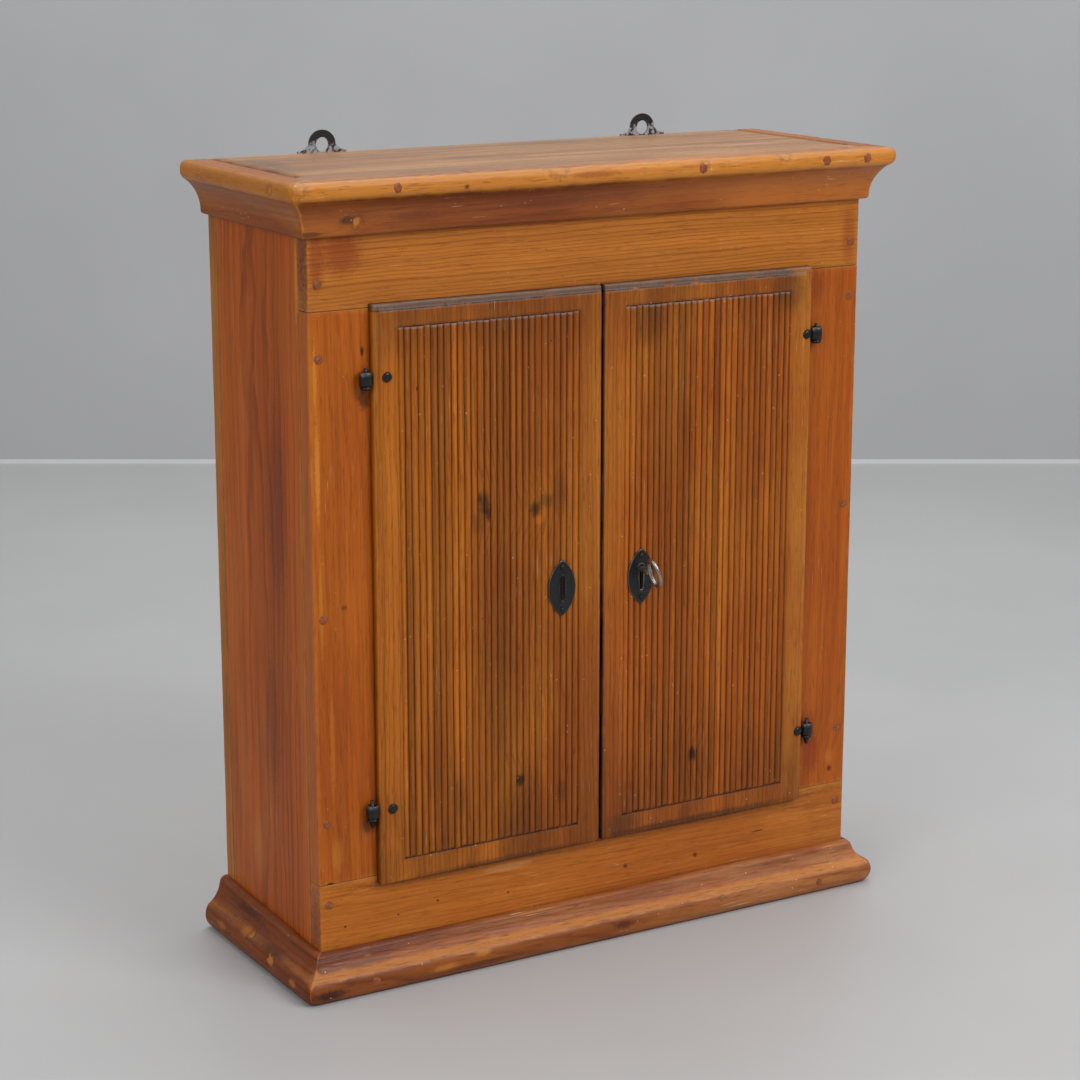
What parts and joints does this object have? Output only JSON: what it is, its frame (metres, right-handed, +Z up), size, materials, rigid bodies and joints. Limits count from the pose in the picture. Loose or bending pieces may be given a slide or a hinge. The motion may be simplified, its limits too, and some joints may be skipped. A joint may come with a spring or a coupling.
{
  "type": "wall cupboard",
  "caption": "Pine wall cupboard with reeded lipped doors on pin hinges, coved cornice, moulded plinth, key lock and hanging lugs; holds household things on shelves.",
  "frame": {"origin": "on the floor, in the middle of the width and of the depth from the key to the wall", "axes": "+X to the right seen from the front, +Y from the doors to the wall, +Z up"},
  "size_m": [0.68, 0.265, 0.8125],
  "materials": {
    "pine_case": "waxed old pine, red brown",
    "pine_frame": "waxed old pine, honey orange",
    "pine_door": "waxed old pine, ochre brown with dark grooves",
    "pine_cornice": "waxed old pine, worn golden on the nose",
    "pine_plinth": "stained old pine, red brown, worn",
    "pine_top": "greyed old pine",
    "pine_inside": "dry unfinished pine",
    "pine_back": "dry unfinished pine",
    "peg_wood": "dark end grain",
    "black_iron": "blackened wrought iron",
    "hanger_paint": "flaking black paint over grey steel",
    "nail_iron": "dull iron",
    "lock_iron": "dull iron",
    "lock_steel": "worn steel",
    "key_steel": "worn steel with dark hollows",
    "screw_steel": "dull steel"
  },
  "bodies": {
    "cabinet": {"side_left": "pine_case", "side_right": "pine_case", "top_rail": "pine_frame", "bottom_rail": "pine_frame", "stile_left": "pine_frame", "stile_right": "pine_frame", "cornice_front": "pine_cornice", "cornice_left": "pine_cornice", "cornice_right": "pine_cornice", "plinth_front": "pine_plinth", "plinth_left": "pine_plinth", "plinth_right": "pine_plinth", "top_board": "pine_top", "bottom_board": "pine_inside", "shelf_lower": "pine_inside", "shelf_upper": "pine_inside", "back_board_left": "pine_back", "back_board_middle": "pine_back", "back_board_right": "pine_back", "frame_pegs": "peg_wood", "cornice_pegs": "peg_wood", "plinth_pegs": "peg_wood", "pintle_left_upper": "black_iron", "pintle_left_lower": "black_iron", "pintle_right_upper": "black_iron", "pintle_right_lower": "black_iron", "hanger_left": "hanger_paint", "hanger_right": "hanger_paint", "moulding_nails": "nail_iron", "back_nails": "nail_iron", "hanger_screws": "screw_steel"},
    "door_left": {"door_left": "pine_door", "hinge_eye_left_upper": "black_iron", "hinge_eye_left_lower": "black_iron", "hinge_nails_left": "black_iron", "escutcheon_left": "black_iron", "escutcheon_nails_left": "black_iron", "lock_keeper": "lock_iron", "keeper_screws": "screw_steel", "slide_bolt_plate": "lock_iron", "slide_bolt_straps": "lock_iron", "slide_bolt_screws": "screw_steel"},
    "door_right": {"door_right": "pine_door", "hinge_eye_right_upper": "black_iron", "hinge_eye_right_lower": "black_iron", "hinge_nails_right": "black_iron", "escutcheon_right": "black_iron", "escutcheon_nails_right": "black_iron", "lock_plate": "lock_iron", "lock_case": "lock_iron", "lock_screws": "screw_steel", "lock_spring": "lock_steel"},
    "slide_bolt": {"slide_bolt": "lock_iron"},
    "lock_bolt": {"lock_bolt": "lock_steel"},
    "key": {"key": "key_steel"}
  },
  "joints": [
    {"name": "door_left_swing", "type": "hinge", "parent": "cabinet", "child": "door_left", "pos_m": [-0.257, -0.094, 0.39], "axis": [0, 0, -1], "range_deg": [0, 165]},
    {"name": "door_right_swing", "type": "hinge", "parent": "cabinet", "child": "door_right", "pos_m": [0.257, -0.094, 0.39], "axis": [0, 0, 1], "range_deg": [0, 165]},
    {"name": "slide_bolt_lift", "type": "slide", "parent": "door_left", "child": "slide_bolt", "axis": [0, 0, 1], "range_m": [0, 0.012]},
    {"name": "key_turn", "type": "hinge", "parent": "door_right", "child": "key", "pos_m": [0.046, -0.0965, 0.384], "axis": [0, -1, 0], "range_deg": [-17, 343]},
    {"name": "lock_bolt_throw", "type": "slide", "parent": "door_right", "child": "lock_bolt", "axis": [-1, 0, 0], "range_m": [-0.0006, 0.01235]}
  ],
  "couplings": [
    {"joint": "key_turn", "follows": "lock_bolt_throw", "rad_per_m": 483.32}
  ]
}
